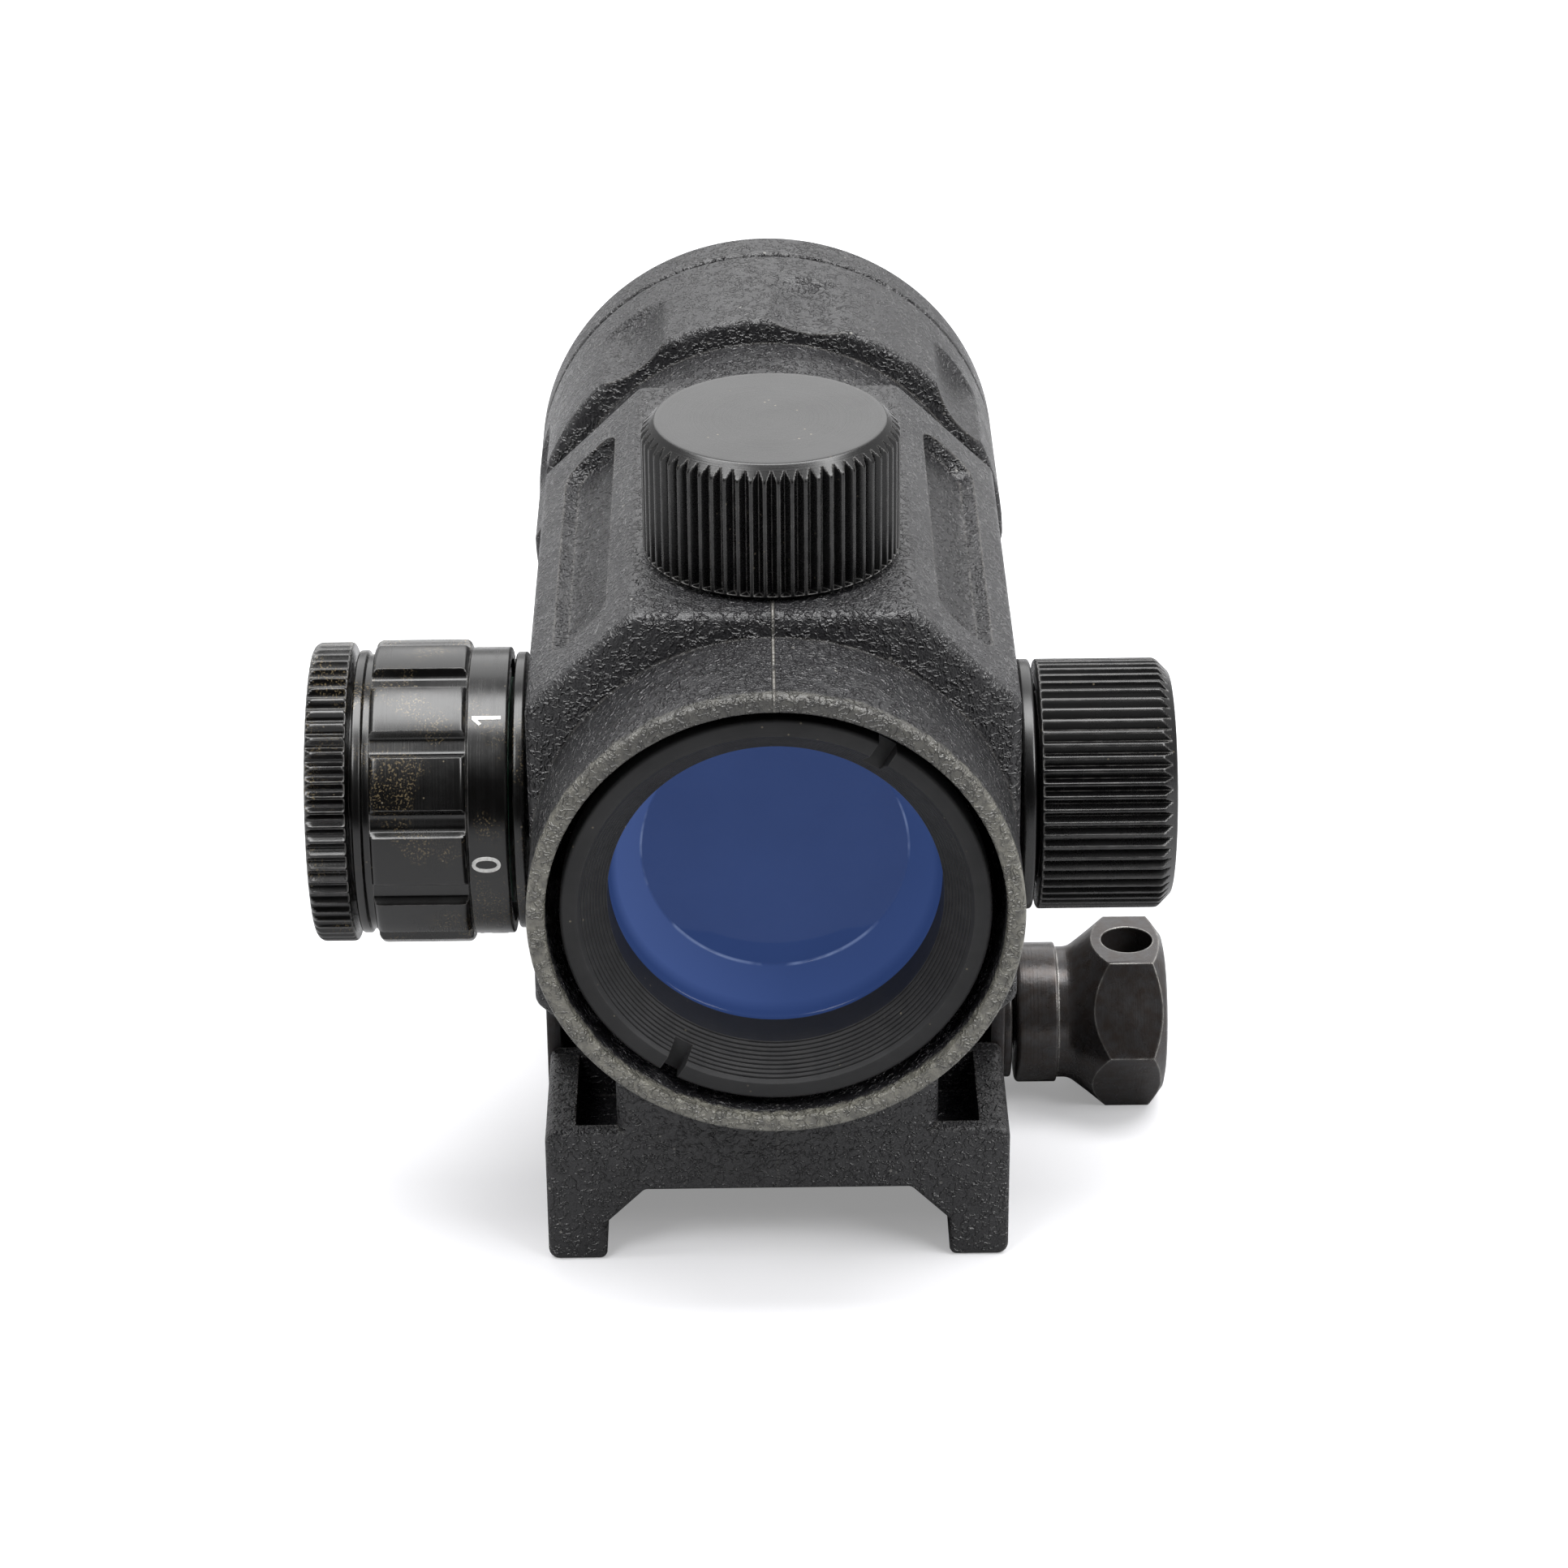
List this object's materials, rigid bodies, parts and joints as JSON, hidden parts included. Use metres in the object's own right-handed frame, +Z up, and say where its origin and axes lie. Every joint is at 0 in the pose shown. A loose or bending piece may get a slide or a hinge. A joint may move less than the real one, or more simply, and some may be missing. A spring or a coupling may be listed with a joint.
{
  "type": "finder scope",
  "caption": "Compact dot sight used as a finder: moulded housing with rail clamp, tilting optic tube, capped adjusters and a brightness dial with battery.",
  "frame": {"origin": "on the flat that sits on the rail, straight under the two adjusters", "axes": "+Z up, +Y along the optical axis from the eye end to the far bell, +X towards the clamp nut"},
  "size_m": [0.054, 0.07, 0.0536],
  "materials": {
    "moulded_polymer": "fine leathery mould grain, satin",
    "anodised_black": "black anodised, turned, semi-gloss",
    "matte_tube": "matte black anodised with turned baffle grooves",
    "blue_glass": "polished, blue anti-reflection coating",
    "clear_glass": "polished, partly reflecting coating",
    "black_steel": "blackened steel, worn bright at the edges",
    "spring_steel": "bright spring steel",
    "brass": "machined brass",
    "cell_steel": "nickel-plated steel can",
    "rubber_black": "matte black rubber",
    "circuit_board": "green solder mask",
    "led_red": "clear red epoxy"
  },
  "bodies": {
    "housing": {"housing": "moulded_polymer", "bell_ring": "moulded_polymer", "return_spring": "spring_steel", "elevation_bush": "anodised_black", "windage_bush": "anodised_black", "rheostat_flange": "anodised_black", "contact_board": "circuit_board", "spindle_clip": "spring_steel", "click_spring": "spring_steel", "fixed_jaw": "black_steel", "cross_bolt": "black_steel"},
    "gimbal": {"pivot_ring": "anodised_black"},
    "optic_tube": {"inner_tube": "matte_tube", "eyepiece_ring": "matte_tube", "objective_ring": "matte_tube", "eyepiece_lens": "blue_glass", "objective_lens": "clear_glass", "led_holder": "rubber_black", "led": "led_red", "led_lead": "rubber_black"},
    "elevation_adjuster": {"elevation_screw": "brass"},
    "elevation_pin": {"elevation_plunger": "brass"},
    "elevation_cap_carrier": {"elevation_cap_seal": "rubber_black"},
    "elevation_cap": {"elevation_cap": "anodised_black"},
    "windage_adjuster": {"windage_screw": "brass"},
    "windage_pin": {"windage_plunger": "brass"},
    "windage_cap_carrier": {"windage_cap_seal": "rubber_black"},
    "windage_cap": {"windage_cap": "anodised_black"},
    "brightness_dial": {"dial": "anodised_black", "dial_wiper": "brass", "battery_contact": "brass", "battery": "cell_steel"},
    "battery_cap_carrier": {"battery_cap_seal": "rubber_black"},
    "battery_cap": {"battery_cap": "anodised_black"},
    "clamp_jaw": {"moving_jaw": "black_steel", "clamp_washer": "black_steel"},
    "clamp_nut": {"clamp_nut": "black_steel"}
  },
  "joints": [
    {"name": "windage_tilt", "type": "hinge", "parent": "housing", "child": "gimbal", "pos_m": [0, 0.0403, 0.0237], "axis": [0, 0, 1], "range_deg": [-0.4739, 0.4739]},
    {"name": "elevation_tilt", "type": "hinge", "parent": "gimbal", "child": "optic_tube", "pos_m": [0, 0.0403, 0.0237], "axis": [1, 0, 0], "range_deg": [-0.4739, 0.4739]},
    {"name": "elevation_adjust", "type": "hinge", "parent": "housing", "child": "elevation_adjuster", "pos_m": [0, 0, 0.0447], "axis": [0, 0, 1], "range_deg": [-240.1, 240.1]},
    {"name": "elevation_push", "type": "slide", "parent": "housing", "child": "elevation_pin", "axis": [0, 0, -1], "range_m": [-0.00034, 0.00034]},
    {"name": "windage_adjust", "type": "hinge", "parent": "housing", "child": "windage_adjuster", "pos_m": [0.0207, 0, 0.0237], "axis": [1, 0, 0], "range_deg": [-240.1, 240.1]},
    {"name": "windage_push", "type": "slide", "parent": "housing", "child": "windage_pin", "axis": [-1, 0, 0], "range_m": [-0.00034, 0.00034]},
    {"name": "elevation_cap_lift", "type": "slide", "parent": "housing", "child": "elevation_cap_carrier", "axis": [0, 0, 1], "range_m": [0, 0.003]},
    {"name": "elevation_cap_turn", "type": "hinge", "parent": "elevation_cap_carrier", "child": "elevation_cap", "pos_m": [0, 0, 0.0447], "axis": [0, 0, 1], "range_deg": [0, 1080.1]},
    {"name": "windage_cap_lift", "type": "slide", "parent": "housing", "child": "windage_cap_carrier", "axis": [1, 0, 0], "range_m": [0, 0.003]},
    {"name": "windage_cap_turn", "type": "hinge", "parent": "windage_cap_carrier", "child": "windage_cap", "pos_m": [0.0207, 0, 0.0237], "axis": [1, 0, 0], "range_deg": [0, 1080.1]},
    {"name": "dial_turn", "type": "hinge", "parent": "housing", "child": "brightness_dial", "pos_m": [-0.02, 0, 0.0237], "axis": [1, 0, 0], "range_deg": [0, 300]},
    {"name": "battery_cap_lift", "type": "slide", "parent": "brightness_dial", "child": "battery_cap_carrier", "axis": [-1, 0, 0], "range_m": [0, 0.002]},
    {"name": "battery_cap_turn", "type": "hinge", "parent": "battery_cap_carrier", "child": "battery_cap", "pos_m": [-0.027, 0, 0.0237], "axis": [-1, 0, 0], "range_deg": [0, 720.1]},
    {"name": "jaw_open", "type": "slide", "parent": "housing", "child": "clamp_jaw", "axis": [1, 0, 0], "range_m": [0, 0.0016]},
    {"name": "nut_turn", "type": "hinge", "parent": "clamp_jaw", "child": "clamp_nut", "pos_m": [0.0207, 0.0116, 0.0004], "axis": [1, 0, 0], "range_deg": [0, 720.1]}
  ],
  "couplings": [
    {"joint": "elevation_adjust", "follows": "elevation_tilt", "ratio": 506.42},
    {"joint": "elevation_push", "follows": "elevation_tilt", "m_per_rad": 0.0403},
    {"joint": "windage_adjust", "follows": "windage_tilt", "ratio": -506.42},
    {"joint": "windage_push", "follows": "windage_tilt", "m_per_rad": -0.0403},
    {"joint": "elevation_cap_turn", "follows": "elevation_cap_lift", "rad_per_m": 6283.2},
    {"joint": "windage_cap_turn", "follows": "windage_cap_lift", "rad_per_m": 6283.2},
    {"joint": "battery_cap_turn", "follows": "battery_cap_lift", "rad_per_m": 6283.2},
    {"joint": "nut_turn", "follows": "jaw_open", "rad_per_m": 7854}
  ]
}
